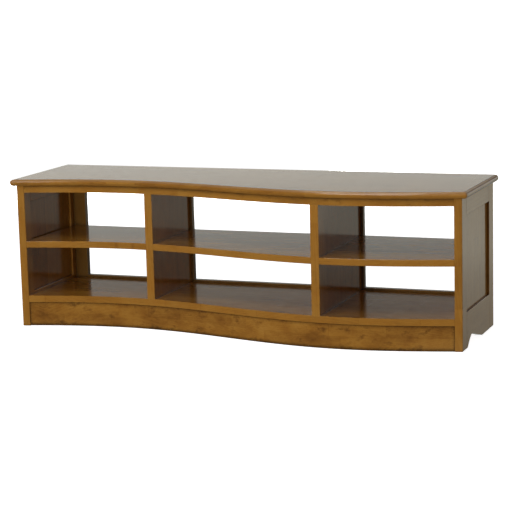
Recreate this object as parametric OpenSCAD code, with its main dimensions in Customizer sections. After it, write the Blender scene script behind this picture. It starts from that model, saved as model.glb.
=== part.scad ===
// Open console television cabinet with a serpentine front: a solid top on frame-and-panel
// ends, two dividers, three fixed shelves, a full-width bottom shelf, a curved plinth and an
// open frame at the back. Millimetres, +Z up, +Y towards the back, origin at the middle of
// the footprint on the floor.

/* [Overall] */
// Width over the two end frames, without the top's overhang
body_w = 1530; // [1300:10:1800]
// Height from the floor to the top face
height = 500; // [440:5:620]

/* [Front curve] */
// Depth of the carcase, back to front, halfway between its bow and its hollow
mean_depth = 403; // [360:1:460]
// How far the front swings forward and back of that depth
wave_depth = 60.5; // [20:0.5:80]
// How far the wave is shifted along the front, in degrees of one full wave
wave_shift = 4; // [0:1:15]
// Extra depth gained from the left end to the right end
wave_skew = 3; // [0:1:10]

/* [Boards] */
// Thickness of the top
top_t = 22; // [18:1:30]
// Thickness of the shelves, plinth and front rail
board_t = 22; // [16:1:28]
// Thickness of the dividers
divider_t = 28; // [20:1:34]
// Distance of each divider's centre from the middle
divider_x = 309; // [240:1:380]
// Overhang of the top past each end
end_overhang = 18; // [12:1:30]
// Overhang of the top past the front
front_overhang = 12; // [8:1:25]

/* [Levels] */
// Height of the plinth under the bottom shelf
plinth_h = 82; // [70:1:110]
// Underside of the three middle shelves
shelf_z = 268; // [230:1:300]
// Height of the front rail under the top
front_rail_h = 23; // [18:1:40]
// Setback of the plinth behind the shelf edges
plinth_setback = 5; // [2:1:20]

/* [End frames] */
// Thickness of the stiles and rails of the end frames
end_t = 24; // [20:1:30]
// Width of the front stiles
front_stile_w = 52; // [40:1:70]
// Width of the rear stiles
rear_stile_w = 57; // [40:1:70]
// Width of the top rails
top_rail_w = 58; // [40:1:80]
// Height of the bottom rails, from the floor
bottom_rail_h = 114; // [100:1:130]
// Thickness of the panels
panel_t = 10; // [6:1:12]

/* [Foot cut] */
// Length of the front foot
front_foot = 63; // [60:1:90]
// Run of the curve that rises from the front foot
foot_curve = 60; // [40:1:80]
// Height of the cut
foot_h = 34; // [20:1:38]
// Length of the rear foot
rear_foot = 150; // [90:1:180]

/* [Back frame] */
// Width of the back frame's stiles and rails
back_w = 46; // [36:1:60]
// Thickness of the back frame
back_t = 20; // [16:1:24]
// Setback of the back frame from the rear edge of the ends
back_setback = 13; // [6:1:20]
// How far the bottom rail of the back frame stands above the bottom shelf
back_lip = 8; // [4:1:14]

/* [Hidden] */

edge_colour = [0.57, 0.37, 0.15];
board_colour = [0.45, 0.28, 0.12];
dark_colour = [0.30, 0.18, 0.08];
dowel_colour = [0.80, 0.66, 0.44];
steel_colour = [0.62, 0.60, 0.55];

curve_step = 20;            // longest straight piece of the curved edges
half_w = body_w / 2;
inner_x = half_w - end_t;   // inner face of the end frames
top_z = height - top_t;     // underside of the top
rail_z = top_z - front_rail_h;
floor_z = plinth_h + board_t;   // upper face of the bottom shelf

// Depth of the carcase at x: one shifted sine wave on a slight slope
function front_depth(x) =
    mean_depth + wave_depth * sin(360 * x / body_w + wave_shift) + wave_skew * x / body_w;
deepest = max([for (x = [-half_w:1:half_w]) front_depth(x)]);
back_y = (deepest + front_overhang) / 2;
function front_y(x) = back_y - front_depth(x);
// Points of the front curve from x0 to x1 in n steps, moved back by inset
function stepped_curve(x0, x1, inset, n) =
    [for (i = [0:n]) let (x = x0 + (x1 - x0) * i / n) [x, front_y(x) + inset]];
function curve(x0, x1, inset) =
    stepped_curve(x0, x1, inset, max(2, ceil(abs(x1 - x0) / curve_step)));

back_front_y = back_y - back_setback - back_t;   // front face of the back frame
stile_back_y = front_y(half_w) + front_stile_w;  // rear edge of the right front stile
panel_x0 = half_w - (end_t + panel_t) / 2;       // inner face of the right panel
groove_d = 8;        // depth of the grooves that hold the panels
tongue_d = 7;        // how far a panel reaches into its groove
housing_d = 3;       // depth of the housings that the dividers stand in
tenon_l = 30;        // length of the end frames' tenons
tenon_gap = 1;       // space at the bottom of a mortise
tenon_inset = 8;     // shoulder above and below a tenon
foot_tenon_z = 44;   // underside of the bottom rails' tenons, clear of the foot cut
back_tenon_l = 14;   // length of the back frame's tenons
back_tenon_t = 8;    // thickness of the back frame's tenons

dowel_r = 4;
dowel_l = 40;
dowel_in = 12;       // how far a dowel enters a divider, an end or the bottom shelf
screw_r = 2;
screw_head_r = 4;
screw_head_h = 3;
cleat_w = 20;
cleat_screw_l = 32;
top_screw_l = 34;
back_screw_l = 50;
eps = 1;             // overshoot of a cutting shape past a face

// ---------- shared shapes ----------

// A flat board with a curved front, from x0 to x1 and back to y1
module curved_board(x0, x1, y1, z0, t) {
    translate([0, 0, z0]) linear_extrude(t)
        polygon(concat(curve(x0, x1, 0), [[x1, y1], [x0, y1]]));
}

// An upright strip of thickness t that follows the front curve
module curved_strip(x0, x1, inset, t, z0, h) {
    translate([0, 0, z0]) linear_extrude(h)
        polygon(concat(curve(x0, x1, inset), curve(x1, x0, inset + t)));
}

// A box from its lowest corner to its highest corner
module box(low, high) {
    translate(low) cube(high - low);
}

// A dowel, which also cuts its own bore, centred at the origin along z
module dowel() {
    cylinder(h = dowel_l, r = dowel_r, center = true, $fn = 48);
}

// A dowel along x that enters the end frame at side
module end_peg(side, y, z) {
    translate([side * (inner_x - dowel_l / 2 + dowel_in), y, z]) rotate([0, 90, 0]) dowel();
}

// A countersunk screw or its hole, pointing up from its head at the origin
module screw(l) {
    cylinder(h = screw_head_h, r1 = screw_head_r, r2 = screw_r, $fn = 48);
    cylinder(h = l, r = screw_r, $fn = 48);
}

// The right-hand half's shapes, used for the left by mirroring where nothing is curved
module mirrored(side) {
    if (side < 0) mirror([1, 0, 0]) children();
    else children();
}

// ---------- dowels ----------

rear_dowel_y = back_front_y - 10;    // rear dowel of each board, in the rear stile
function front_dowel_y(side) = front_y(side * inner_x) + 26;
function divider_dowels_y(x) =
    let (y0 = front_y(x) + 34, y1 = back_front_y - 34) [y0, (y0 + y1) / 2, y1];

// Dowels of one board's end where it meets an end frame
module end_pegs(side, z) {
    for (y = [front_dowel_y(side), rear_dowel_y])
        end_peg(side, y, z);
}

// Dowels of one shelf's end where it meets a divider's face at x, on the side dir
module divider_pegs(x, dir, z) {
    for (y = divider_dowels_y(x))
        translate([x + dir * (dowel_l / 2 - dowel_in), y, z]) rotate([0, 90, 0]) dowel();
}

shelf_mid_z = shelf_z + board_t / 2;
bottom_mid_z = plinth_h + board_t / 2;

module shelf_dowels() {
    color(dowel_colour) {
        for (side = [-1, 1]) {
            end_pegs(side, shelf_mid_z);
            for (face = [-1, 1])
                divider_pegs(side * divider_x + face * divider_t / 2, face, shelf_mid_z);
        }
    }
}

module divider_dowels() {
    color(dowel_colour)
        for (x = [-divider_x, divider_x], y = divider_dowels_y(x))
            translate([x, y, floor_z + dowel_l / 2 - dowel_in]) dowel();
}

plinth_dowel_z = [22, 60];
rail_dowel_z = rail_z + front_rail_h / 2;
module carcase_dowels() {
    color(dowel_colour)
        for (side = [-1, 1]) {
            end_pegs(side, bottom_mid_z);
            for (z = plinth_dowel_z)
                end_peg(side, front_y(side * inner_x) + plinth_setback + board_t / 2, z);
            end_peg(side, front_y(side * inner_x) + board_t / 2, rail_dowel_z);
        }
}

// ---------- screws ----------

cleat_z = top_z - cleat_w;
cleat_rear_y = back_front_y - 6;
function cleat_front_y(x) = front_y(x) + board_t + 40;
// Each cleat: its x from the face it is fixed to, and the way it stands off that face
CLEATS = [[-inner_x, 1], [-divider_x + divider_t / 2, 1],
    [divider_x - divider_t / 2, -1], [inner_x, -1]];

module cleat_screw_row(cleat) {
    x = cleat[0] + cleat[1] * cleat_w;
    y0 = cleat_front_y(cleat[0]);
    for (y = [y0 + 30, (y0 + cleat_rear_y) / 2, cleat_rear_y - 30])
        translate([x, y, cleat_z + cleat_w / 2])
            rotate([0, -90 * cleat[1], 0]) screw(cleat_screw_l);
}

module top_screw_row(cleat) {
    for (y = [cleat_front_y(cleat[0]) + 60, cleat_rear_y - 60])
        translate([cleat[0] + cleat[1] * cleat_w / 2, y, cleat_z]) screw(top_screw_l);
}

module cleat_screws() {
    color(steel_colour) for (cleat = CLEATS) cleat_screw_row(cleat);
}

module top_screws() {
    color(steel_colour) for (cleat = CLEATS) top_screw_row(cleat);
}

back_screw_z = [140, 290, 440];
back_screw_x = [-600, -150, 150, 600];
module back_frame_screws() {
    color(steel_colour) {
        for (x = [-divider_x, divider_x], z = back_screw_z)
            translate([x, back_y - back_setback, z]) rotate([90, 0, 0]) screw(back_screw_l);
        for (x = back_screw_x)
            translate([x, back_y - back_setback, bottom_mid_z])
                rotate([90, 0, 0]) screw(back_screw_l);
    }
}

// ---------- top ----------

nose_r = top_t / 2;
nose_steps = 12;
front_steps = ceil((body_w + 2 * end_overhang) / curve_step);
// Outline of the top at an inset from its widest edge; the rear edge stays where it is
function top_outline(inset) =
    let (x1 = half_w + end_overhang - inset)
    concat([[x1, back_y], [-x1, back_y]],
        stepped_curve(-x1, x1, inset - front_overhang, front_steps));
top_levels = [for (i = [0:nose_steps])
    let (a = -90 + 180 * i / nose_steps)
    [for (p = top_outline(nose_r - nose_r * cos(a)))
        [p[0], p[1], top_z + nose_r + nose_r * sin(a)]]];

// The top with a half-round nose along its front and both ends. Its two flat faces are fans
// of triangles from the rear left corner, which every point of the outline can see.
module top_blank() {
    n = len(top_levels[0]);
    corner = 1;
    last = nose_steps * n;
    polyhedron(
        points = [for (level = top_levels) each level],
        faces = concat(
            [for (i = [2:n - 1]) [corner, i, (i + 1) % n]],
            [for (k = [0:nose_steps - 1], i = [0:n - 1])
                let (a = k * n + i, b = k * n + (i + 1) % n) [a, a + n, b + n, b]],
            [for (i = [2:n - 1]) [last + corner, last + (i + 1) % n, last + i]]));
}

module top_board() {
    color(board_colour) difference() {
        top_blank();
        top_screws();
    }
}

// ---------- boards ----------

module front_rail_blank() {
    curved_strip(-inner_x, inner_x, 0, board_t, rail_z, front_rail_h);
}

// The notch in a divider that the rail lies in, open to the front
module front_rail_notch() {
    curved_strip(-inner_x, inner_x, -1, board_t + 1, rail_z, front_rail_h);
}

module front_rail() {
    color(edge_colour) difference() {
        front_rail_blank();
        carcase_dowels();
    }
}

// The through housing in the bottom shelf that a divider stands in
module divider_housing(side) {
    x = side * divider_x;
    box([x - divider_t / 2, back_y - deepest - eps, floor_z - housing_d],
        [x + divider_t / 2, back_front_y + eps, floor_z + eps]);
}

module bottom_shelf() {
    color(board_colour) difference() {
        curved_board(-inner_x, inner_x, back_front_y, plinth_h, board_t);
        divider_housing(-1);
        divider_housing(1);
        carcase_dowels();
        divider_dowels();
        back_frame_screws();
    }
}

module shelf(x0, x1) {
    color(board_colour) difference() {
        curved_board(x0, x1, back_front_y, shelf_z, board_t);
        shelf_dowels();
    }
}

module left_shelf() {
    shelf(-inner_x, -divider_x - divider_t / 2);
}

module centre_shelf() {
    shelf(-divider_x + divider_t / 2, divider_x - divider_t / 2);
}

module right_shelf() {
    shelf(divider_x + divider_t / 2, inner_x);
}

module plinth_blank() {
    curved_strip(-inner_x, inner_x, plinth_setback, board_t, 0, plinth_h);
}

module plinth_board() {
    color(edge_colour) difference() {
        plinth_blank();
        carcase_dowels();
    }
}

module divider(side) {
    x = side * divider_x;
    color(board_colour) difference() {
        curved_board(x - divider_t / 2, x + divider_t / 2, back_front_y,
            floor_z - housing_d, top_z - floor_z + housing_d);
        front_rail_notch();
        shelf_dowels();
        divider_dowels();
        cleat_screws();
        back_frame_screws();
    }
}

module left_divider() {
    divider(-1);
}

module right_divider() {
    divider(1);
}

// ---------- end frames ----------

// Box between two depths in the plane of the panels and tenons
module in_plane(side, y0, y1, z0, z1) {
    mirrored(side) box([panel_x0, y0, z0], [panel_x0 + panel_t, y1, z1]);
}

// Where the panel's grooves start and stop
groove_z0 = bottom_rail_h - groove_d;
groove_z1 = top_z - top_rail_w + groove_d;
rear_stile_y = back_y - rear_stile_w;    // front edge of the rear stiles
tenon_z0 = [foot_tenon_z, top_z - top_rail_w + tenon_inset + groove_d];
tenon_z1 = [groove_z0 - tenon_inset, top_z - tenon_inset];

module mortises(side, y0, y1) {
    for (i = [0, 1]) in_plane(side, y0, y1, tenon_z0[i], tenon_z1[i]);
}

module front_stile(side) {
    x0 = side < 0 ? -half_w : inner_x;
    color(edge_colour) difference() {
        curved_board(x0, x0 + end_t, stile_back_y, 0, top_z);
        in_plane(side, stile_back_y - groove_d, stile_back_y + eps, groove_z0, groove_z1);
        mortises(side, stile_back_y - tenon_l - tenon_gap, stile_back_y + eps);
        shelf_dowels();
        carcase_dowels();
    }
}

module rear_stile(side) {
    color(edge_colour) difference() {
        mirrored(side) box([inner_x, rear_stile_y, 0], [half_w, back_y, top_z]);
        in_plane(side, rear_stile_y - eps, rear_stile_y + groove_d, groove_z0, groove_z1);
        mortises(side, rear_stile_y - eps, rear_stile_y + tenon_l + tenon_gap);
        shelf_dowels();
        carcase_dowels();
    }
}

module top_rail(side) {
    z0 = top_z - top_rail_w;
    color(board_colour) difference() {
        union() {
            mirrored(side) box([inner_x, stile_back_y, z0], [half_w, rear_stile_y, top_z]);
            in_plane(side, stile_back_y - tenon_l, rear_stile_y + tenon_l, tenon_z0[1], tenon_z1[1]);
        }
        in_plane(side, stile_back_y - eps, rear_stile_y + eps, z0 - eps, groove_z1);
        cleat_screws();
        carcase_dowels();
    }
}

foot_y0 = front_y(half_w) + front_foot;        // where the cut leaves the front foot
foot_y1 = foot_y0 + foot_curve;                // top of the cut
foot_y2 = back_y - rear_foot;                  // where it meets the rear foot
function foot_outline() = concat(
    [[foot_y0, -eps]],
    [for (a = [0:10:90]) [foot_y0 + foot_curve * a / 90, foot_h * sin(a)]],
    [[foot_y2, 0], [foot_y2, -eps]]);

// The cut that leaves a front foot with a curved rise and a long raked run to the rear foot
module foot_cut(side) {
    mirrored(side) translate([inner_x - eps, 0, 0]) rotate([90, 0, 90])
        linear_extrude(end_t + 2 * eps) polygon(foot_outline());
}

module bottom_rail(side) {
    color(board_colour) difference() {
        union() {
            mirrored(side) box([inner_x, stile_back_y, 0], [half_w, rear_stile_y, bottom_rail_h]);
            in_plane(side, stile_back_y - tenon_l, rear_stile_y + tenon_l, tenon_z0[0], tenon_z1[0]);
        }
        in_plane(side, stile_back_y - eps, rear_stile_y + eps, groove_z0, bottom_rail_h + eps);
        foot_cut(side);
        carcase_dowels();
    }
}

module end_panel(side) {
    color(dark_colour) in_plane(side, stile_back_y - tongue_d, rear_stile_y + tongue_d,
        bottom_rail_h - tongue_d, top_z - top_rail_w + tongue_d);
}

module left_front_stile() {
    front_stile(-1);
}

module left_rear_stile() {
    rear_stile(-1);
}

module left_top_rail() {
    top_rail(-1);
}

module left_bottom_rail() {
    bottom_rail(-1);
}

module left_panel() {
    end_panel(-1);
}

module right_front_stile() {
    front_stile(1);
}

module right_rear_stile() {
    rear_stile(1);
}

module right_top_rail() {
    top_rail(1);
}

module right_bottom_rail() {
    bottom_rail(1);
}

module right_panel() {
    end_panel(1);
}

// ---------- back frame ----------

back_rail_z1 = floor_z + back_lip;             // upper edge of the bottom rail
back_rail_z0 = back_rail_z1 - back_w;
back_top_z = top_z - back_w;                   // lower edge of the top rail
back_stile_x = [-inner_x + back_w / 2, -divider_x, divider_x, inner_x - back_w / 2];
tenon_side = 8;                                // shoulder at each side of a stile's tenon

// Tenons of one stile, or their mortises where extra is more than 0
module back_tenons(x, extra) {
    y0 = back_front_y + (back_t - back_tenon_t) / 2;
    box([x - back_w / 2 + tenon_side, y0, back_rail_z1 - back_tenon_l - extra],
        [x + back_w / 2 - tenon_side, y0 + back_tenon_t, back_top_z + back_tenon_l + extra]);
}

module back_stile(i) {
    x = back_stile_x[i];
    color(dark_colour) difference() {
        union() {
            box([x - back_w / 2, back_front_y, back_rail_z1],
                [x + back_w / 2, back_front_y + back_t, back_top_z]);
            back_tenons(x, 0);
        }
        back_frame_screws();
    }
}

module back_rail(z0, z1) {
    color(dark_colour) difference() {
        box([-inner_x, back_front_y, z0], [inner_x, back_front_y + back_t, z1]);
        for (x = back_stile_x) back_tenons(x, tenon_gap);
        back_frame_screws();
    }
}

module back_left_stile() {
    back_stile(0);
}

module back_left_mid_stile() {
    back_stile(1);
}

module back_right_mid_stile() {
    back_stile(2);
}

module back_right_stile() {
    back_stile(3);
}

module back_top_rail() {
    back_rail(back_top_z, top_z);
}

module back_bottom_rail() {
    back_rail(back_rail_z0, back_rail_z1);
}

// ---------- pieces hidden under the boards ----------

// A block from x0 to x1 and z0 to z1 whose front is shaped to the back of the plinth
module behind_plinth(x0, x1, y1, z0, z1) {
    difference() {
        translate([0, 0, z0]) linear_extrude(z1 - z0)
            polygon(concat(curve(x0, x1, plinth_setback + board_t / 2), [[x1, y1], [x0, y1]]));
        plinth_blank();
    }
}

support_t = 22;
support_lift = 6;     // gap under the centre support, so that it never rocks the cabinet
module centre_support() {
    color(dark_colour)
        behind_plinth(-support_t / 2, support_t / 2, back_front_y, support_lift, plinth_h);
}

// A glue block in the corner between the plinth and an end frame
block_w = 30;
block_z0 = 8;
block_z1 = 74;
module corner_block(side) {
    x0 = side < 0 ? -inner_x : inner_x - block_w;
    color(dark_colour) behind_plinth(x0, x0 + block_w, stile_back_y, block_z0, block_z1);
}

module left_corner_block() {
    corner_block(-1);
}

module right_corner_block() {
    corner_block(1);
}

// A square batten that holds the top down
module cleat(i) {
    x = CLEATS[i][0];
    x1 = x + CLEATS[i][1] * cleat_w;
    color(dark_colour) difference() {
        box([min(x, x1), cleat_front_y(x), cleat_z], [max(x, x1), cleat_rear_y, top_z]);
        cleat_screw_row(CLEATS[i]);
        top_screw_row(CLEATS[i]);
    }
}

module left_end_cleat() {
    cleat(0);
}

module left_divider_cleat() {
    cleat(1);
}

module right_divider_cleat() {
    cleat(2);
}

module right_end_cleat() {
    cleat(3);
}

// ---------- assembly ----------

top_board();
front_rail();
bottom_shelf();
left_shelf();
centre_shelf();
right_shelf();
plinth_board();
left_divider();
right_divider();
left_front_stile();
left_rear_stile();
left_top_rail();
left_bottom_rail();
left_panel();
right_front_stile();
right_rear_stile();
right_top_rail();
right_bottom_rail();
right_panel();
back_left_stile();
back_left_mid_stile();
back_right_mid_stile();
back_right_stile();
back_top_rail();
back_bottom_rail();
centre_support();
left_corner_block();
right_corner_block();
left_end_cleat();
left_divider_cleat();
right_divider_cleat();
right_end_cleat();
shelf_dowels();
divider_dowels();
carcase_dowels();
cleat_screws();
top_screws();
back_frame_screws();
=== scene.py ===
# Looks for the open console television cabinet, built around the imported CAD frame.
# Every piece is a welded, eased copy of the shape that its CAD node has, with its own wood.
import math

import bmesh
import bpy
from mathutils import Matrix, Vector
from mathutils.bvhtree import BVHTree


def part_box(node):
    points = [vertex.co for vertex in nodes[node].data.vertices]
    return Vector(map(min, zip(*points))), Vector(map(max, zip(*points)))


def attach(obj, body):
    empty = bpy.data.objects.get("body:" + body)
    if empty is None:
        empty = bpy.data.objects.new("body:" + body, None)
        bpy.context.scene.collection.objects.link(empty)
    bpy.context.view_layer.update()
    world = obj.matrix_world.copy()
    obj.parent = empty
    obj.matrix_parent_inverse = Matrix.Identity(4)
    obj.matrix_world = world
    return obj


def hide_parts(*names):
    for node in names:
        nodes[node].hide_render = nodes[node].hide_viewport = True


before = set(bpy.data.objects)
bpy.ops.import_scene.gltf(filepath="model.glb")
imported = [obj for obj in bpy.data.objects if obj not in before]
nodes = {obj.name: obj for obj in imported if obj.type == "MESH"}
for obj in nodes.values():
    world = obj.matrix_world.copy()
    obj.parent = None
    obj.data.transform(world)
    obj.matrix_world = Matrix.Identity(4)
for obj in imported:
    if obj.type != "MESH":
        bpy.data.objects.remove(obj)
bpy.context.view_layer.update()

MM = 0.001
WELD = 0.01 * MM  # points closer than this are one point
BODY = "root"


# ---------- node trees ----------


class Graph:
    """Short calls for building one node tree."""

    def __init__(self, tree):
        self.tree = tree
        tree.nodes.clear()

    def node(self, kind, inputs=None, **settings):
        n = self.tree.nodes.new("ShaderNode" + kind)
        for key, value in settings.items():
            setattr(n, key, value)
        for key, value in (inputs or {}).items():
            self.plug(n.inputs[key], value)
        return n

    def plug(self, socket, value):
        if isinstance(value, bpy.types.NodeSocket):
            self.tree.links.new(value, socket)
        else:
            socket.default_value = value

    def math(self, operation, a, b=0.0, c=0.0, clamp=False):
        n = self.node("Math", operation=operation, use_clamp=clamp)
        for i, value in enumerate((a, b, c)):
            self.plug(n.inputs[i], value)
        return n.outputs[0]

    def add(self, a, b):
        return self.math("ADD", a, b)

    def mul(self, a, b):
        return self.math("MULTIPLY", a, b)

    def xyz(self, x, y, z):
        return self.node("CombineXYZ", {"X": x, "Y": y, "Z": z}).outputs[0]

    def split(self, vector):
        n = self.node("SeparateXYZ", {0: vector})
        return n.outputs[0], n.outputs[1], n.outputs[2]

    def scaled(self, vector, scale):
        n = self.node("VectorMath", operation="MULTIPLY")
        self.plug(n.inputs[0], vector)
        self.plug(n.inputs[1], scale)
        return n.outputs[0]

    def moved(self, vector, step):
        n = self.node("VectorMath", operation="ADD")
        self.plug(n.inputs[0], vector)
        self.plug(n.inputs[1], step)
        return n.outputs[0]

    def noise(self, vector, detail=2.0, rough=0.5, distortion=0.0):
        return self.node(
            "TexNoise",
            {"Vector": vector, "Scale": 1.0, "Detail": detail, "Roughness": rough,
             "Distortion": distortion},
        ).outputs["Fac"]

    def span(self, value, a, b, c=0.0, d=1.0, smooth=False):
        """Value from a..b mapped to c..d, held at both ends."""
        return self.node(
            "MapRange",
            {"Value": value, "From Min": a, "From Max": b, "To Min": c, "To Max": d},
            clamp=True,
            interpolation_type="SMOOTHSTEP" if smooth else "LINEAR",
        ).outputs[0]

    def mix(self, factor, a, b, blend="MIX"):
        n = self.node("Mix", data_type="RGBA", blend_type=blend)
        self.plug(n.inputs[0], factor)
        self.plug(n.inputs[6], a)
        self.plug(n.inputs[7], b)
        return n.outputs[2]

    def centred(self, value):
        """A 0..1 pattern moved to -0.5..0.5, so that it darkens as much as it brightens."""
        return self.math("SUBTRACT", value, 0.5)

    def ramp(self, value, stops):
        n = self.node("ValToRGB", {"Fac": value})
        elements = n.color_ramp.elements
        while len(elements) < len(stops):
            elements.new(1.0)
        for element, (at, colour) in zip(elements, stops):
            element.position = at
            element.color = (*colour, 1.0)
        return n.outputs[0]


def material(name):
    m = bpy.data.materials.new(name)
    m.use_nodes = True
    return m, Graph(m.node_tree)


# Albedo of the stained wood from its darkest streaks to its palest fibres
AMBER = [
    (0.00, (0.112, 0.042, 0.0068)),
    (0.30, (0.245, 0.100, 0.0142)),
    (0.52, (0.388, 0.170, 0.0236)),
    (0.75, (0.490, 0.232, 0.0378)),
    (1.00, (0.600, 0.325, 0.0730)),
]
# Painted shade: a darker albedo for the back frame, standing for the shade deep inside the bays
SHADED_BROWN = [
    (0.00, (0.052, 0.024, 0.0058)),
    (0.50, (0.138, 0.066, 0.0134)),
    (1.00, (0.280, 0.142, 0.0320)),
]
PALE = [
    (0.00, (0.150, 0.080, 0.030)),
    (0.35, (0.330, 0.200, 0.090)),
    (0.60, (0.480, 0.320, 0.160)),
    (1.00, (0.640, 0.480, 0.290)),
]


MIDDLE_TONE = 0.52       # where plain wood stands on its colour ramp
FINGER = 2.2 * MM        # half the pitch of the finger joints
RING = 5.2 * MM          # one year's growth
RING_SWAY = 0.016        # how far the rings wander, in metres
LOG_V, LOG_W = 0.11, 0.5  # spacing of the piths over a board's width and thickness
SIDE_GLUE = 0.28 * MM    # half the glue line between staves
END_GLUE = 0.35 * MM     # half the glue line between blocks
WEAR = 2.0 * MM          # how far the stain is rubbed thin at an arris
STAIN_AND_SHADE_REACH = 14.0 * MM  # how far the corner darkening reaches: painted shade, partly stain held in corners


def wood(name, stops, stave, block, fingers="w", tone=0.0, step=0.16, gloss=0.13,
         knots=0.5, figure=0.6, mottle=0.5, edge=0.05, stain_and_shade=0.5, corner=(0.42, 0.86)):
    """A solid wood in the piece's own grain coordinates: u along the grain, v over the width and
    w through the thickness. It is glued up from staves, each finger-jointed from short blocks.

    stave and block are sizes in metres, and fingers names the axis that the fingers lie along.
    tone and step set how bright the blocks are and how far they differ. knots, figure and mottle
    set how strong each pattern is. edge is the wear on the arrises. The last two set the corner
    darkening from ambient occlusion: how dark it gets and over which range of occlusion it runs.
    It is painted shade, such as the shadow under the top's nose, and partly stain held in corners."""
    m, g = material(name)
    grain = g.node("Attribute", attribute_name="grain").outputs["Vector"]
    u, v, w = g.split(grain)

    # Staves side by side, with the blocks of each stave starting somewhere else
    bow = g.mul(g.noise(g.scaled(grain, (2.0, 6.0, 6.0)), 1.0), 0.004)
    row = g.math("FLOOR", g.math("DIVIDE", v, stave))
    row_noise = g.node("TexWhiteNoise", {"W": row}, noise_dimensions="1D").outputs["Value"]
    comb = g.math("PINGPONG", w if fingers == "w" else v, FINGER)
    joint = g.add(g.add(u, g.mul(row_noise, 7.0)), g.mul(comb, 2.4))
    swing = g.mul(g.math("SINE", g.math("MULTIPLY_ADD", joint, 2.3 / block, row)), 0.30)
    along = g.add(g.math("DIVIDE", joint, block), swing)
    column = g.math("FLOOR", along)
    cell = g.node("TexWhiteNoise", {"Vector": g.xyz(column, row, 3.7)}, noise_dimensions="3D")
    block_tone = cell.outputs["Value"]
    ra, rb, rc = g.split(cell.outputs["Color"])

    # Growth rings round a pith that lies somewhere else for each block
    drift = g.mul(g.math("SUBTRACT", ra, 0.5), 0.10)
    pv = g.add(g.math("MULTIPLY_ADD", rb, LOG_V, -LOG_V / 2), g.mul(u, drift))
    pw = g.math("MULTIPLY_ADD", rc, -0.045, -0.018)
    dv = g.math("SUBTRACT", g.math("MULTIPLY", g.math("FRACT", g.math("DIVIDE", v, LOG_V)), LOG_V), pv)
    dw = g.math("SUBTRACT", g.math("MULTIPLY", g.math("FRACT", g.math("DIVIDE", w, LOG_W)), LOG_W), pw)
    radius = g.math("SQRT", g.add(g.mul(dv, dv), g.mul(dw, dw)))
    sway = g.noise(g.moved(g.scaled(grain, (3.5, 26.0, 26.0)), cell.outputs["Color"]), 2.0)
    ring = g.math("FRACT", g.math("DIVIDE", g.add(radius, g.mul(sway, RING_SWAY)), RING))
    late = g.mul(g.span(ring, 0.25, 0.92), g.span(ring, 1.0, 0.94))

    # Soft figure, fibres, streaks, short open pores, broad blotches and small smudges
    figure_noise = g.noise(g.moved(g.scaled(grain, (5.0, 34.0, 34.0)), cell.outputs["Color"]), 3.0, 0.55)
    fibre = g.noise(g.scaled(grain, (26.0, 620.0, 620.0)), 3.0, 0.6)
    streak = g.noise(g.moved(g.scaled(grain, (9.0, 170.0, 170.0)), cell.outputs["Color"]), 2.0, 0.5)
    pore = g.span(g.noise(g.scaled(grain, (85.0, 1500.0, 1500.0)), 1.0, 0.5), 0.63, 0.74)
    blotch = g.noise(g.scaled(grain, (11.0, 17.0, 17.0)), 4.0, 0.6)
    smudge = g.span(g.noise(g.scaled(grain, (22.0, 34.0, 34.0)), 4.0, 0.65), 0.54, 0.74)

    # Small pin knots with a dark heart and a wavy halo
    spots = g.node("TexVoronoi", {"Vector": g.scaled(grain, (4.2, 17.0, 17.0)), "Scale": 1.0,
                                  "Randomness": 1.0}, feature="F1")
    rare = 1.0 - knots * 0.35
    some = g.span(g.split(spots.outputs["Color"])[0], rare, rare + 0.02)
    ragged = g.mul(g.noise(g.scaled(grain, (60.0, 300.0, 300.0))), 0.05)
    far = g.math("ADD", spots.outputs["Distance"], ragged)
    heart = g.mul(g.span(far, 0.085, 0.045, smooth=True), some)
    halo = g.mul(g.span(far, 0.24, 0.05, smooth=True), some)

    # Glue lines between staves and blocks
    side = g.math("PINGPONG", g.math("DIVIDE", v, stave), 0.5)
    side_line = g.span(side, SIDE_GLUE / stave, 0.0)
    end = g.math("PINGPONG", along, 0.5)
    end_line = g.span(end, END_GLUE / block, 0.0)
    line = g.math("MAXIMUM", side_line, end_line)

    # Where each point stands on the colour ramp: every pattern, and how far it moves it
    end_grain = g.node("Attribute", attribute_name="end_grain").outputs["Fac"]
    value = g.math("MULTIPLY_ADD", g.centred(block_tone), 2 * step, MIDDLE_TONE + tone)
    for pattern, weight in (
        (late, -0.10 * figure),
        (g.centred(figure_noise), 0.42 * figure),
        (g.centred(streak), 0.20 * figure),
        (g.centred(fibre), 0.17),
        (g.centred(blotch), 0.62 * mottle),
        (smudge, -0.26 * mottle),
        (pore, -0.13),
        (halo, -0.16),
        (heart, -0.34),
        (line, -0.16),
        (end_grain, -0.10),
    ):
        value = g.math("MULTIPLY_ADD", pattern, weight, value)

    # Stain rubbed thin along the eased edges, and darker in the corners: painted shade from ambient
    # occlusion, partly stain held there
    rounded = g.node("Bevel", {"Radius": WEAR}, samples=4).outputs[0]
    facing = g.node("VectorMath", operation="DOT_PRODUCT")
    g.plug(facing.inputs[0], rounded)
    g.plug(facing.inputs[1], g.node("NewGeometry").outputs["Normal"])
    worn = g.span(facing.outputs["Value"], 0.985, 0.90)
    value = g.math("MULTIPLY_ADD", g.mul(worn, blotch), edge * 2, value)
    colour = g.ramp(value, stops)
    hue = g.mix(g.span(blotch, 0.35, 0.7), (1.0, 0.96, 0.90, 1.0), (1.0, 1.03, 1.12, 1.0))
    colour = g.mix(1.0, colour, hue, "MULTIPLY")
    # Painted shade: the colour darkens where ambient occlusion finds a corner or an overhang, such as
    # under the top's nose, and partly stands for stain held there
    held = g.node("AmbientOcclusion", {"Distance": STAIN_AND_SHADE_REACH}, samples=6).outputs["AO"]
    held = g.math("MULTIPLY_ADD", g.math("SUBTRACT", smudge, 0.3), -0.12, held)
    shade = g.span(held, corner[0], corner[1], 1.0 - stain_and_shade, 1.0)
    colour = g.mix(1.0, colour, g.node("CombineColor", {0: shade, 1: shade, 2: shade}).outputs[0],
                   "MULTIPLY")

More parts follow.
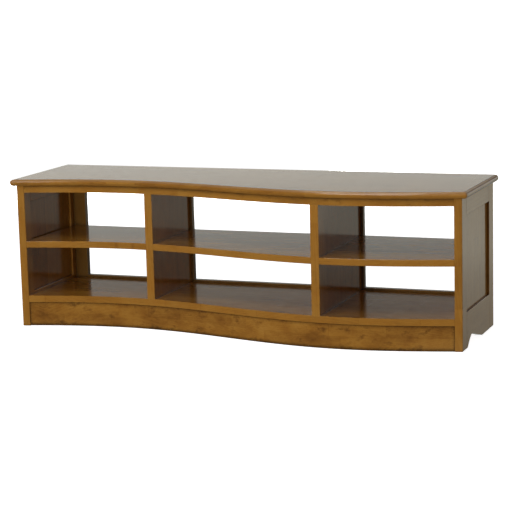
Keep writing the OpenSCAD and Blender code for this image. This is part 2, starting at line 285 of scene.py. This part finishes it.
    rough = g.math("MULTIPLY_ADD", g.noise(g.scaled(grain, (30.0, 45.0, 45.0)), 3.0, 0.6), 0.09,
                   gloss - 0.045)
    rough = g.math("MULTIPLY_ADD", pore, 0.10, rough)
    rough = g.math("MULTIPLY_ADD", g.math("SUBTRACT", 1.0, held), 0.12, rough, clamp=True)

    # Relief of the lacquer, in millimetres
    swell = g.noise(g.scaled(grain, (16.0, 30.0, 30.0)), 2.0, 0.5)
    height = bow
    for pattern, relief in ((swell, 0.007), (fibre, 0.002), (pore, -0.012), (line, -0.012),
                            (heart, -0.020)):
        height = g.math("MULTIPLY_ADD", pattern, relief, height)
    bump = g.node("Bump", {"Height": height, "Strength": 1.0, "Distance": 1.0 * MM}).outputs[0]

    shader = g.node("BsdfPrincipled", {"Base Color": colour, "Roughness": rough, "Normal": bump,
                                       "IOR": 1.5})
    g.node("OutputMaterial", {"Surface": shader.outputs[0]})
    return m


def zinc():
    """Zinc-plated steel: a yellowish passivated skin with fine turning marks."""
    m, g = material("zinc_steel")
    where = g.node("TexCoord").outputs["Object"]
    cloud = g.noise(g.scaled(where, (240.0, 240.0, 240.0)), 3.0, 0.6)
    fine = g.noise(g.scaled(where, (2600.0, 2600.0, 2600.0)), 2.0, 0.6)
    colour = g.ramp(cloud, [(0.25, (0.40, 0.36, 0.27)), (0.55, (0.58, 0.55, 0.47)),
                            (0.8, (0.66, 0.65, 0.62))])
    # Painted shade: the skin darkens where ambient occlusion finds the cross recess and the seat under
    # the head
    held = g.node("AmbientOcclusion", {"Distance": 1.5 * MM}, samples=6).outputs["AO"]
    colour = g.mix(g.span(held, 0.2, 0.9), (0.10, 0.08, 0.055, 1.0), colour)
    rough = g.math("MULTIPLY_ADD", cloud, 0.22, 0.20)
    bump = g.node("Bump", {"Height": fine, "Strength": 0.5, "Distance": 0.02 * MM}).outputs[0]
    shader = g.node("BsdfPrincipled", {"Base Color": colour, "Metallic": 1.0, "Roughness": rough,
                                       "Normal": bump})
    g.node("OutputMaterial", {"Surface": shader.outputs[0]})
    return m


# Width of one stave in each wood: WHOLE is wider than any piece, so that it is one board
WHOLE = 0.60
STAVES = {"top": 0.078, "nose": WHOLE, "shelf": 0.052, "plinth": 0.0412, "solid": WHOLE,
          "panel": 0.064, "back": WHOLE, "inner": WHOLE, "dowel": WHOLE}
WOODS = {
    "top": wood("top_staves", AMBER, STAVES["top"], 0.46, fingers="v", tone=0.04, step=0.08,
                knots=0.3),
    # The front rail's strong corner darkening paints the shadow under the top's nose
    "nose": wood("edge_blocks", AMBER, STAVES["nose"], 0.24, fingers="v", tone=0.06, step=0.06,
                 stain_and_shade=0.75, corner=(0.70, 0.97)),
    "shelf": wood("shelf_staves", AMBER, STAVES["shelf"], 0.27, fingers="v", tone=0.06, step=0.06,
                  mottle=0.38),
    # The plinth's strong corner darkening paints the shade lines beside the posts and under the bottom
    # shelf
    "plinth": wood("plinth_blocks", AMBER, STAVES["plinth"], 0.165, tone=-0.03, step=0.07, knots=0.9,
                   mottle=1.6, stain_and_shade=0.8, corner=(0.70, 0.98)),
    "solid": wood("solid_amber", AMBER, STAVES["solid"], 0.60, tone=0.05, step=0.06, knots=0.4),
    "panel": wood("panel_staves", AMBER, STAVES["panel"], 0.9, tone=0.03, step=0.05, knots=0.3),
    # The back frame's darker wood is painted shade for the depth of the bays
    "back": wood("back_shaded_brown", SHADED_BROWN, STAVES["back"], 0.45, step=0.05, gloss=0.2),
    "inner": wood("inner_bare", PALE, STAVES["inner"], 2.0, step=0.10, gloss=0.5, edge=0.0, stain_and_shade=0.4),
    "dowel": wood("beech_bare", PALE, STAVES["dowel"], 2.0, tone=0.22, step=0.05, gloss=0.55,
                  knots=0.0, edge=0.0, stain_and_shade=0.3),
}
STEEL = zinc()

# Axes of the grain (u), the width (v) and the thickness (w) of each wooden node, its wood and
# the radius of its eased edges in millimetres
GRAINS = {
    "top_board": ("xyz", "top", 1.5),
    "front_rail": ("xzy", "nose", 1.3),
    "plinth_board": ("xzy", "plinth", 1.5),
    "bottom_shelf": ("xyz", "shelf", 1.7),
    "left_shelf": ("xyz", "shelf", 1.7),
    "centre_shelf": ("xyz", "shelf", 1.7),
    "right_shelf": ("xyz", "shelf", 1.7),
    "left_divider": ("zyx", "solid", 1.7),
    "right_divider": ("zyx", "solid", 1.7),
    "centre_support": ("yzx", "inner", 1.0),
    "left_corner_block": ("zxy", "inner", 1.2),
    "right_corner_block": ("zxy", "inner", 1.2),
    "shelf_dowels": ("xyz", "dowel", 0.0),
    "divider_dowels": ("zyx", "dowel", 0.0),
    "carcase_dowels": ("xyz", "dowel", 0.0),
}
for side in ("left", "right"):
    GRAINS[f"{side}_front_stile"] = ("zyx", "solid", 2.0)
    GRAINS[f"{side}_rear_stile"] = ("zyx", "solid", 2.0)
    GRAINS[f"{side}_top_rail"] = ("yzx", "solid", 1.5)
    GRAINS[f"{side}_bottom_rail"] = ("yzx", "solid", 1.7)
    GRAINS[f"{side}_panel"] = ("zyx", "panel", 0.5)
    GRAINS[f"back_{side}_stile"] = ("zxy", "back", 1.5)
    GRAINS[f"back_{side}_mid_stile"] = ("zxy", "back", 1.5)
    GRAINS[f"{side}_end_cleat"] = ("yzx", "inner", 1.2)
    GRAINS[f"{side}_divider_cleat"] = ("yzx", "inner", 1.2)
for level in ("top", "bottom"):
    GRAINS[f"back_{level}_rail"] = ("xzy", "back", 1.5)


# ---------- meshes ----------


def welded(node):
    """The node's closed shape, with its flat faces whole again."""
    bm = bmesh.new()
    bm.from_mesh(nodes[node].data)
    bmesh.ops.remove_doubles(bm, verts=bm.verts, dist=WELD)
    bmesh.ops.dissolve_limit(bm, angle_limit=math.radians(0.15), verts=bm.verts, edges=bm.edges,
                             use_dissolve_boundaries=False)
    bm.normal_update()
    return bm


TREES = {}


def tree_of(node):
    if node not in TREES:
        bm = bmesh.new()
        bm.from_mesh(nodes[node].data)
        bmesh.ops.remove_doubles(bm, verts=bm.verts, dist=WELD)
        TREES[node] = BVHTree.FromBMesh(bm)
        bm.free()
    return TREES[node]


BOXES = {name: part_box(name) for name in nodes}
SHARP = math.radians(22)      # edges flatter than this belong to a curved face
SMOOTH = math.radians(38)     # shading runs on over edges flatter than this
STEPS = (0.06, 0.22, 0.38, 0.5, 0.62, 0.78, 0.94)  # places along an edge where it is tested
LOOK = 2 * MM                 # how far from an edge a neighbour is looked for
COVERED = 0.15 * MM           # a neighbour this near, just outside the edge, hides it
FLUSH = 0.25 * MM             # a neighbour this near to the edge itself is flush with it
FLUSH_SHARE = 0.16            # the share of the easing that a flush edge gets


def near(node, point, reach):
    """Signed distance from point to the nearest other node within reach: below 0 inside it."""
    best = reach
    for other in nodes:
        if other == node:
            continue
        low, high = BOXES[other]
        if any(point[i] < low[i] - reach or point[i] > high[i] + reach for i in range(3)):
            continue
        hit, normal, _, distance = tree_of(other).find_nearest(point, reach)
        if hit is not None:
            signed = distance if (point - hit).dot(normal) >= 0 else -distance
            best = min(best, signed)
    return best


def edge_share(node, edge):
    """How much of the full easing an edge gets: none inside a joint, a hairline where two pieces
    meet flush, and the full amount where it is free."""
    if len(edge.link_faces) != 2 or not edge.is_convex or edge.calc_face_angle(0) < SHARP:
        return 0.0
    out = (edge.link_faces[0].normal + edge.link_faces[1].normal).normalized()
    a, b = (v.co for v in edge.verts)
    hidden = touching = 0
    for t in STEPS:
        p = a.lerp(b, t)
        if near(node, p + out * 0.8 * MM, LOOK) < COVERED:
            hidden += 1
        elif near(node, p, LOOK) < FLUSH:
            touching += 1
    if hidden > len(STEPS) / 2:
        return 0.0
    if hidden + touching > len(STEPS) / 2:
        return FLUSH_SHARE
    return 1.0


def smoothed(mesh, name, modifiers):
    """An object of the mesh with these modifiers applied, sharp edges kept and flat faces shaded
    flat."""
    obj = bpy.data.objects.new(name, mesh)
    bpy.context.scene.collection.objects.link(obj)
    for kind, settings in modifiers:
        modifier = obj.modifiers.new(kind, kind)
        for key, value in settings.items():
            setattr(modifier, key, value)
    depsgraph = bpy.context.evaluated_depsgraph_get()
    obj.data = bpy.data.meshes.new_from_object(obj.evaluated_get(depsgraph), depsgraph=depsgraph)
    obj.modifiers.clear()
    obj.data.name = name
    bpy.data.meshes.remove(mesh)
    for polygon in obj.data.polygons:
        polygon.use_smooth = True
    obj.data.set_sharp_from_angle(angle=SMOOTH)
    weighted = obj.modifiers.new("flat_faces", "WEIGHTED_NORMAL")
    weighted.keep_sharp = True
    weighted.weight = 90
    return obj


def eased(node, radius):
    """A copy of the node's shape with its outer edges rounded over."""
    bm = welded(node)
    weights = bm.edges.layers.float.new("bevel_weight_edge")
    for edge in bm.edges:
        edge[weights] = edge_share(node, edge)
    mesh = bpy.data.meshes.new(node + "_rough")
    bm.to_mesh(mesh)
    bm.free()
    bevel = {"limit_method": "WEIGHT", "width": radius * MM, "segments": 3, "profile": 0.5,
             "use_clamp_overlap": True, "miter_outer": "MITER_SHARP", "loop_slide": False}
    return smoothed(mesh, "wood_" + node, [("BEVEL", bevel)] if radius else [])


def add_grain(obj, node, index, axes):
    """Stores where each point lies in the piece's own board: u along the grain, v over the width
    and w through the thickness, in metres, moved to a place of its own in the wood."""
    low, high = BOXES[node]
    order = ["xyz".index(a) for a in axes]
    middle = [(low[i] + high[i]) / 2 for i in range(3)]
    shift = (1.37 * index, row_start(node, index), 0.05 + 0.5 * ((index * 0.618) % 0.6))
    values = []
    for vertex in obj.data.vertices:
        values += [vertex.co[i] - middle[i] + step for i, step in zip(order, shift)]
    grain = obj.data.attributes.new("grain", "FLOAT_VECTOR", "POINT")
    grain.data.foreach_set("vector", values)
    along = order[0]
    ends = [1.0 if abs(p.normal[along]) > 0.8 else 0.0 for p in obj.data.polygons]
    end_grain = obj.data.attributes.new("end_grain", "FLOAT", "FACE")
    end_grain.data.foreach_set("value", ends)


def row_start(node, index):
    """Puts the middle of a plain piece in the middle of a stave, and of a two-stave one on a seam."""
    stave = STAVES[GRAINS[node][1]]
    seam = 0.0 if GRAINS[node][1] == "plinth" else 0.5
    return stave * (index * 7 + seam)


def finish_piece(obj, node):
    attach(obj, BODY)
    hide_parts(node)


# ---------- top with a half-round nose ----------


NOSE_STEPS = 16           # facets round the half-round nose
FRONT_STEPS = 200         # points along the front curve
CORNER_STEPS = 6          # facets round each front corner, seen from above
CORNER = 6.0 * MM         # its radius halfway up the nose
LEAST_CORNER = 0.4 * MM   # and what is left of it on the flat faces
SLOPE_STEP = 2 * MM       # length over which the curve's slope is taken


def front_line(z, back):
    """Points of the top's front edge at height z, from left to right."""
    return sorted({(round(v.co.x, 6), round(v.co.y, 6)) for v in nodes["top_board"].data.vertices
                   if abs(v.co.z - z) < 2 * WELD and v.co.y < back - 50 * MM})


def curve_at(points, x):
    """The front edge's y at x, on a smooth curve through its points."""
    for i in range(1, len(points)):
        if x <= points[i][0] or i == len(points) - 1:
            break
    p = [points[max(0, min(len(points) - 1, i + k))] for k in (-2, -1, 0, 1)]
    t = (x - p[1][0]) / (p[2][0] - p[1][0])
    span = p[2][0] - p[1][0]
    m1 = (p[2][1] - p[0][1]) / max(p[2][0] - p[0][0], 1e-9) * span
    m2 = (p[3][1] - p[1][1]) / max(p[3][0] - p[1][0], 1e-9) * span
    return ((2 * t**3 - 3 * t**2 + 1) * p[1][1] + (t**3 - 2 * t**2 + t) * m1
            + (-2 * t**3 + 3 * t**2) * p[2][1] + (t**3 - t**2) * m2)


def top_mesh():
    """The top as level outlines, one for each step round its nose, with rounded front corners."""
    low, high = BOXES["top_board"]
    radius = (high.z - low.z) / 2
    middle = low.z + radius
    back = high.y
    points = front_line(middle, back)
    bm = bmesh.new()
    levels = []
    for i in range(NOSE_STEPS + 1):
        angle = math.radians(-90 + 180 * i / NOSE_STEPS)
        inset = radius * (1 - math.cos(angle))
        edge = high.x - inset
        round_off = CORNER * (1 - inset / radius) + LEAST_CORNER
        x0 = edge - round_off
        ring = []
        for sign in (-1, 1):
            start = curve_at(points, sign * x0)
            y0 = start + inset
            slope = (start - curve_at(points, sign * (x0 - SLOPE_STEP))) / SLOPE_STEP
            turn = []
            for k in range(CORNER_STEPS + 1):
                a = math.radians(90 * k / CORNER_STEPS)
                dx = round_off * math.sin(a)
                turn.append((sign * (x0 + dx), y0 + slope * dx + round_off * (1 - math.cos(a))))
            turn.append((sign * edge, back))
            ring.append(turn)
        across = [-x0 + 2 * x0 * k / FRONT_STEPS for k in range(1, FRONT_STEPS)]
        front = [(x, curve_at(points, x) + inset) for x in across]
        outline = ring[0][::-1] + front + ring[1]
        levels.append([bm.verts.new((x, y, middle + radius * math.sin(angle))) for x, y in outline])
    for a, b in zip(levels, levels[1:]):
        for k in range(len(a) - 1):
            bm.faces.new((a[k], a[k + 1], b[k + 1], b[k]))
    for level in (levels[0], levels[-1]):
        bm.faces.new(level)
    bm.faces.new([level[0] for level in levels] + [level[-1] for level in reversed(levels)])
    bmesh.ops.recalc_face_normals(bm, faces=bm.faces)
    weights = bm.edges.layers.float.new("bevel_weight_edge")
    for edge in bm.edges:
        ends = [v.co for v in edge.verts]
        if all(c.y > back - WELD for c in ends) and edge.calc_face_angle(0) > SHARP:
            edge[weights] = 1.0
    mesh = bpy.data.meshes.new("top_rough")
    bm.to_mesh(mesh)
    bm.free()
    return mesh


# ---------- countersunk screws ----------


SIDES = 20                # facets round a screw
PITCH = 2.0 * MM
CORE, CREST = 1.35 * MM, 1.95 * MM  # radii at the root and the crest of the thread
FACE = 0.02 * MM          # how far the head's face lies under the wood's
# Radius and depth of each ring from the head's face to the neck
HEAD = [(3.75 * MM, FACE), (3.95 * MM, 0.16 * MM), (2.0 * MM, 3.0 * MM), (1.6 * MM, 3.6 * MM)]
THREAD_START = 4.2 * MM
POINT = 1.2 * MM          # left of the screw where the last ring of thread is
TAPER = 5 * MM            # length over which the thread runs out to the point
ARM, SLOT, DEEP = 1.9 * MM, 0.42 * MM, 1.7 * MM  # the cross recess: reach, half width and depth


def joined(bm, a, b):
    """Faces between two closed rings with the same number of points."""
    for k in range(len(a)):
        j = (k + 1) % len(a)
        bm.faces.new((a[k], a[j], b[j], b[k]))


def screw_mesh(bm, place, length):
    """One screw pointing along +z of place, with its head's face at the origin: a cross recess,
    a countersunk head and a thread that runs to a point."""

    def ring(radii, z):
        turns = (2 * math.pi * k / SIDES for k in range(SIDES))
        return [bm.verts.new(place @ Vector((radius * math.cos(t), radius * math.sin(t), z)))
                for radius, t in zip(radii, turns)]

    rings = [ring([radius] * SIDES, z) for radius, z in HEAD]
    z = THREAD_START
    while z < length - POINT:
        taper = min(1.0, (length - z) / TAPER)
        phases = ((z / PITCH - k / SIDES) % 1.0 for k in range(SIDES))
        lifts = (max(0.0, 1 - abs(phase - 0.5) * 4) for phase in phases)
        rings.append(ring([(CORE + (CREST - CORE) * lift) * taper for lift in lifts], z))
        z += PITCH / 4
    for a, b in zip(rings, rings[1:]):
        joined(bm, a, b)
    tip = bm.verts.new(place @ Vector((0, 0, length)))
    for k in range(SIDES):
        bm.faces.new((rings[-1][k], rings[-1][(k + 1) % SIDES], tip))

    outline = []
    for quarter in range(4):
        turn = Matrix.Rotation(quarter * math.pi / 2, 3, "Z")
        for x, y in ((ARM, -SLOT), (ARM, SLOT), (SLOT * 1.25, SLOT * 1.25)):
            outline.append(turn @ Vector((x, y, FACE)))
    mouth = [bm.verts.new(place @ p) for p in outline]
    floor = [bm.verts.new(place @ Vector((p.x * 0.45, p.y * 0.55, DEEP))) for p in outline]
    loop = [bm.edges.new((mouth[k], mouth[(k + 1) % 12])) for k in range(12)]
    rim = [bm.edges.get((rings[0][k], rings[0][(k + 1) % SIDES])) for k in range(SIDES)]
    bmesh.ops.bridge_loops(bm, edges=rim + loop)
    joined(bm, mouth, floor)
    bm.faces.new(floor)


def screw_places(node):
    """Where each screw of a node sits and how long it is, read from the node's own solids."""
    bm = bmesh.new()
    bm.from_mesh(nodes[node].data)
    bmesh.ops.remove_doubles(bm, verts=bm.verts, dist=WELD)
    left, places = set(bm.verts), []
    while left:
        stack, part = [left.pop()], []
        while stack:
            v = stack.pop()
            part.append(v.co.copy())
            for e in v.link_edges:
                o = e.other_vert(v)
                if o in left:
                    left.discard(o)
                    stack.append(o)
        low = Vector([min(c[i] for c in part) for i in range(3)])
        high = Vector([max(c[i] for c in part) for i in range(3)])
        size = high - low
        axis = max(range(3), key=lambda i: size[i])
        centre = (low + high) / 2
        wide = {end: max((Vector([c[i] - centre[i] if i != axis else 0 for i in range(3)]).length
                          for c in part if abs(c[axis] - end) < 0.1 * MM), default=0.0)
                for end in (low[axis], high[axis])}
        head = max(wide, key=wide.get)
        way = Vector([0, 0, 0])
        way[axis] = 1.0 if head == low[axis] else -1.0
        origin = centre.copy()
        origin[axis] = head
        turn = way.to_track_quat("Z", "Y").to_matrix().to_4x4()
        places.append((Matrix.Translation(origin) @ turn, size[axis]))
    bm.free()
    return sorted(places, key=lambda p: tuple(round(x, 4) for x in p[0].translation))


def screws(node):
    """All the screws of one node in one object, each turned by its own amount."""
    bm = bmesh.new()
    for k, (place, length) in enumerate(screw_places(node)):
        screw_mesh(bm, place @ Matrix.Rotation(0.7 + 1.9 * k, 4, "Z"), length)
    bmesh.ops.recalc_face_normals(bm, faces=bm.faces)
    mesh = bpy.data.meshes.new(node + "_rough")
    bm.to_mesh(mesh)
    bm.free()
    obj = smoothed(mesh, "steel_" + node, [])
    obj.data.materials.clear()
    obj.data.materials.append(STEEL)
    return obj


# ---------- pieces ----------

for index, (node, (axes, kind, radius)) in enumerate(GRAINS.items()):
    if node == "top_board":
        bevel = {"limit_method": "WEIGHT", "width": radius * MM, "segments": 3}
        piece = smoothed(top_mesh(), "wood_top_board", [("BEVEL", bevel)])
    else:
        piece = eased(node, radius)
    piece.data.materials.clear()
    piece.data.materials.append(WOODS[kind])
    add_grain(piece, node, index, axes)
    finish_piece(piece, node)

for node in ("cleat_screws", "top_screws", "back_frame_screws"):
    finish_piece(screws(node), node)

left_over = sorted(n for n in nodes if not nodes[n].hide_render)
if left_over:
    raise RuntimeError(f"no piece stands for {left_over}")


# ---------- floor, light and camera ----------

STAGE_HALF = 14.0
WHITE = (1.2, 1.2, 1.2, 1.0)          # the background to the eye
STUDIO_TINT = (0.98, 1.0, 0.93, 1.0)  # colour of what the lacquer sees round the cabinet
FLOOR_TINT = (1.0, 1.01, 0.86, 1.0)   # and of what it sees of the floor
# Brightness of the mirrored floor round the cabinet, behind it, beside it and in front of it; the dim
# pool round the cabinet is its painted shadow
SHADOW_POOL, BACK_FLOOR, SIDE_FLOOR, FRONT_FLOOR = 0.15, 0.38, (0.20, 0.32), 0.12
WINDOW = (0.70, 0.70, 0.70, 1.0)

# Each lamp's name, place, target, width and height in metres, watts, and the rays that see it
LAMPS = [
    ("softbox", (0.0, -2.84, 2.45), (0.1, -0.1, 0.3), (2.0, 2.2), 62, "glossy"),
    ("overhead", (-0.15, -0.25, 3.2), (-0.15, -0.25, 0.5), (1.6, 1.2), 24, "glossy"),
    ("key", (-0.6, -6.5, 0.8), (2.2, 0, 0.25), (2.2, 1.2), 220, "diffuse"),
    ("upper", (-0.43, -1.74, 2.96), (0.1, -0.1, 0.5), (2.0, 1.2), 20, "diffuse"),
    ("right_fill", (3.4, 0.05, 0.5), (0.8, 0.05, 0.25), (0.5, 0.8), 7.5, "diffuse"),
    ("left_fill", (-3.4, 0.15, 0.6), (-0.8, 0.05, 0.25), (0.8, 0.8), 16, "diffuse"),
    ("back_fill", (-1.6, 3.6, 0.35), (0, 0.24, 0.3), (2.0, 0.6), 75, "diffuse"),
]

CAMERA_PLACE = (2.1272, -5.4015, 1.2779)
CAMERA_LENS, CAMERA_SENSOR = 125.8, 36.0
YAW, PITCH_DOWN, ROLL = 0.3710, 0.1766, -0.0262


def flat_square(name, half, z, mat):
    """A level square of side 2 * half at height z, which belongs to the stage."""
    bm = bmesh.new()
    bmesh.ops.create_grid(bm, x_segments=2, y_segments=2, size=half)
    bmesh.ops.translate(bm, verts=bm.verts, vec=(0, 0, z))
    mesh = bpy.data.meshes.new(name)
    bm.to_mesh(mesh)
    bm.free()
    mesh.materials.append(mat)
    obj = bpy.data.objects.new(name, mesh)
    bpy.context.scene.collection.objects.link(obj)
    return obj


def pale_floor():
    """A plain white floor for the eye."""
    m, g = material("pale_floor")
    where = g.node("TexCoord").outputs["Object"]
    cloud = g.noise(g.scaled(where, (1.5, 1.5, 1.5)), 2.0)
    colour = g.ramp(cloud, [(0.3, (0.86, 0.86, 0.86)), (0.7, (0.90, 0.90, 0.90))])
    shader = g.node("BsdfPrincipled", {"Base Color": colour, "Roughness": 0.9,
                                       "Emission Color": (1, 1, 1, 1), "Emission Strength": 0.9})
    g.node("OutputMaterial", {"Surface": shader.outputs[0]})
    floor = flat_square("floor", STAGE_HALF, 0.0, m)
    floor.visible_glossy = False
    floor.visible_diffuse = False


def mirrored_floor():
    """A glowing sheet that only reflections see, a painted reflection of the floor: dim under and
    behind the cabinet, where it paints the cabinet's shadow, dim in front of it, and brighter further
    back."""
    m, g = material("mirrored_floor")
    x, y, _ = g.split(g.node("TexCoord").outputs["Object"])
    dx = g.math("DIVIDE", g.math("SUBTRACT", x, -0.05), 1.15)
    dy = g.math("DIVIDE", g.math("SUBTRACT", y, 0.35), 1.25)
    far = g.math("SQRT", g.add(g.mul(dx, dx), g.mul(dy, dy)))
    glow = g.span(far, 0.55, 1.7, SHADOW_POOL, BACK_FLOOR, smooth=True)
    beside = g.span(g.math("MULTIPLY_ADD", y, -0.25, x), 0.60, 0.74, smooth=True)
    glow = g.math("MULTIPLY_ADD", beside, g.span(y, 0.3, 1.6, *SIDE_FLOOR), glow)
    back = g.span(y, -0.6, 0.2, smooth=True)
    glow = g.add(g.mul(glow, back), g.math("MULTIPLY_ADD", back, -FRONT_FLOOR, FRONT_FLOOR))
    shader = g.node("Emission", {"Color": FLOOR_TINT, "Strength": glow})
    g.node("OutputMaterial", {"Surface": shader.outputs[0]})
    floor = flat_square("mirrored_floor", STAGE_HALF, -2 * MM, m)
    floor.visible_camera = False
    floor.visible_diffuse = False
    floor.visible_shadow = False
    floor.visible_transmission = False


def greys(*stops):
    """Grey colour stops from pairs of place and brightness."""
    return [(at, (level, level, level)) for at, level in stops]


def studio_world():
    """White to the eye and soft all round for diffuse light. The lacquer sees a bright low screen
    behind the cabinet with a dark band over it, a dark room in front with a window on its right,
    and brightness overhead."""
    world = bpy.data.worlds.new("studio")
    world.use_nodes = True
    g = Graph(world.node_tree)
    x, y, z = g.split(g.node("TexCoord").outputs["Generated"])
    behind = g.span(y, -0.35, 0.15, smooth=True)
    height = g.math("MULTIPLY_ADD", x, 0.035, g.add(z, 0.0115))
    screen = g.ramp(g.span(height, -0.5, 0.5), greys(
        (0.00, 0.40), (0.47, 0.60), (0.52, 0.96), (0.625, 0.96), (0.665, 0.38), (0.688, 0.33),
        (0.699, 0.04), (0.745, 0.04), (0.800, 0.90), (1.00, 1.0)))
    room = g.ramp(g.span(z, -1.0, 1.0), greys(
        (0.00, 0.10), (0.50, 0.12), (0.68, 0.15), (0.80, 0.55), (0.90, 0.95), (1.00, 1.0)))
    window = g.mul(g.span(x, -0.22, 0.18, smooth=True), g.span(z, -0.02, 0.06))
    room = g.mix(window, room, WINDOW, "LIGHTEN")
    glossy = g.mix(1.0, g.mix(behind, room, screen), STUDIO_TINT, "MULTIPLY")
    soft = g.ramp(g.span(z, -1.0, 1.0), greys((0.0, 0.06), (0.48, 0.06), (0.60, 0.08), (1.0, 0.12)))
    path = g.node("LightPath")
    colour = g.mix(path.outputs["Is Glossy Ray"], soft, glossy)
    colour = g.mix(path.outputs["Is Camera Ray"], colour, WHITE)
    shader = g.node("Background", {"Color": colour, "Strength": 1.0})
    g.node("OutputWorld", {"Surface": shader.outputs[0]})
    bpy.context.scene.world = world


def lamp(name, place, target, size, power, rays):
    """A rectangular lamp that the camera doesn't see."""
    data = bpy.data.lights.new(name, "AREA")
    data.shape = "RECTANGLE"
    data.size, data.size_y = size
    data.energy = power
    obj = bpy.data.objects.new(name, data)
    bpy.context.scene.collection.objects.link(obj)
    obj.location = place
    obj.rotation_euler = (Vector(target) - Vector(place)).to_track_quat("-Z", "Y").to_euler()
    obj.visible_camera = False
    obj.visible_glossy = rays == "glossy"
    obj.visible_diffuse = rays == "diffuse"


def camera():
    """A long lens in front of the cabinet, to its right and a little above it."""
    data = bpy.data.cameras.new("camera")
    data.sensor_width = CAMERA_SENSOR
    data.lens = CAMERA_LENS
    obj = bpy.data.objects.new("camera", data)
    bpy.context.scene.collection.objects.link(obj)
    level = Vector((-math.sin(YAW), math.cos(YAW), 0))
    across = Vector((math.cos(YAW), math.sin(YAW), 0))
    forward = level * math.cos(PITCH_DOWN) - Vector((0, 0, 1)) * math.sin(PITCH_DOWN)
    upright = Vector((0, 0, 1)) * math.cos(PITCH_DOWN) + level * math.sin(PITCH_DOWN)
    right = across * math.cos(ROLL) + upright * math.sin(ROLL)
    up = upright * math.cos(ROLL) - across * math.sin(ROLL)
    turn = Matrix((right, up, -forward)).transposed().to_4x4()
    obj.matrix_world = Matrix.Translation(CAMERA_PLACE) @ turn
    bpy.context.scene.camera = obj


pale_floor()
mirrored_floor()
studio_world()
for settings in LAMPS:
    lamp(*settings)
camera()
bpy.context.scene.view_settings.view_transform = "Standard"
